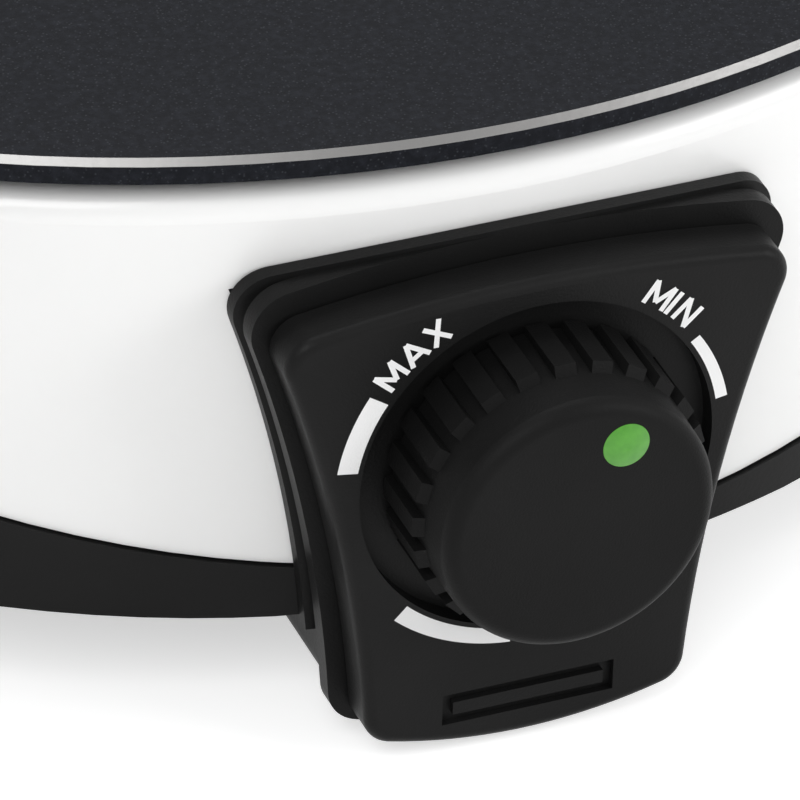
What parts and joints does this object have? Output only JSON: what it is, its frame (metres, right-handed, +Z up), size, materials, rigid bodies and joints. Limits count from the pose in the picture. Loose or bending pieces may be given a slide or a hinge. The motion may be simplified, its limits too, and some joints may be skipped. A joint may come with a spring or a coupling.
{
  "type": "electric crepe maker",
  "caption": "Round electric crepe maker: a flat non-stick cooking plate on a tapered casing, with a front control box and a turning temperature knob.",
  "frame": {"origin": "on the table under the middle of the cooking plate", "axes": "+Z up, -Y towards the control box at the front, +X to the right of someone facing it"},
  "size_m": [0.3, 0.3242, 0.093],
  "materials": {
    "nonstick_plate": "fine speckled non-stick coating with a bare bevel edge",
    "white_shell": "glossy white heat-proof plastic",
    "black_shell": "fine satin black plastic",
    "black_base": "semi-gloss black plastic",
    "steel": "plated steel",
    "bright_aluminium": "bright sheet",
    "ceramic": "unglazed ceramic",
    "brass": "plain brass",
    "foot_rubber": "soft rubber",
    "green_lens": "green translucent plastic",
    "clear_lamp": "clear glass",
    "pale_plastic": "pale heat-proof plastic"
  },
  "bodies": {
    "cooker": {"cooking_plate": "nonstick_plate", "heating_element": "steel", "element_clamps": "steel", "clamp_screws": "steel", "heat_shield": "bright_aluminium", "housing_shell": "white_shell", "base_ring": "black_base", "bottom_cover": "black_base", "plate_screws": "steel", "cover_screws": "steel", "rubber_feet": "foot_rubber", "control_frame": "black_shell", "control_cover": "black_shell", "light_diffuser": "green_lens", "thermostat_bracket": "steel", "thermostat_nut": "brass", "ceramic_spacers": "ceramic", "contact_blades": "brass", "bimetal_strip": "steel", "silver_contacts": "steel", "stack_screw": "steel", "pilot_lamp": "clear_lamp", "lamp_holder": "pale_plastic", "terminal_block": "pale_plastic", "thermal_fuse": "ceramic", "fuse_clip": "steel", "cable_gland": "black_base"},
    "knob": {"control_knob": "black_shell", "knob_lens": "green_lens", "knob_clip": "steel", "thermostat_spindle": "steel"}
  },
  "joints": [
    {"name": "knob_turn", "type": "hinge", "parent": "cooker", "child": "knob", "pos_m": [0, -0.158, 0.045], "axis": [0, 1, 0], "range_deg": [0, 270]}
  ]
}
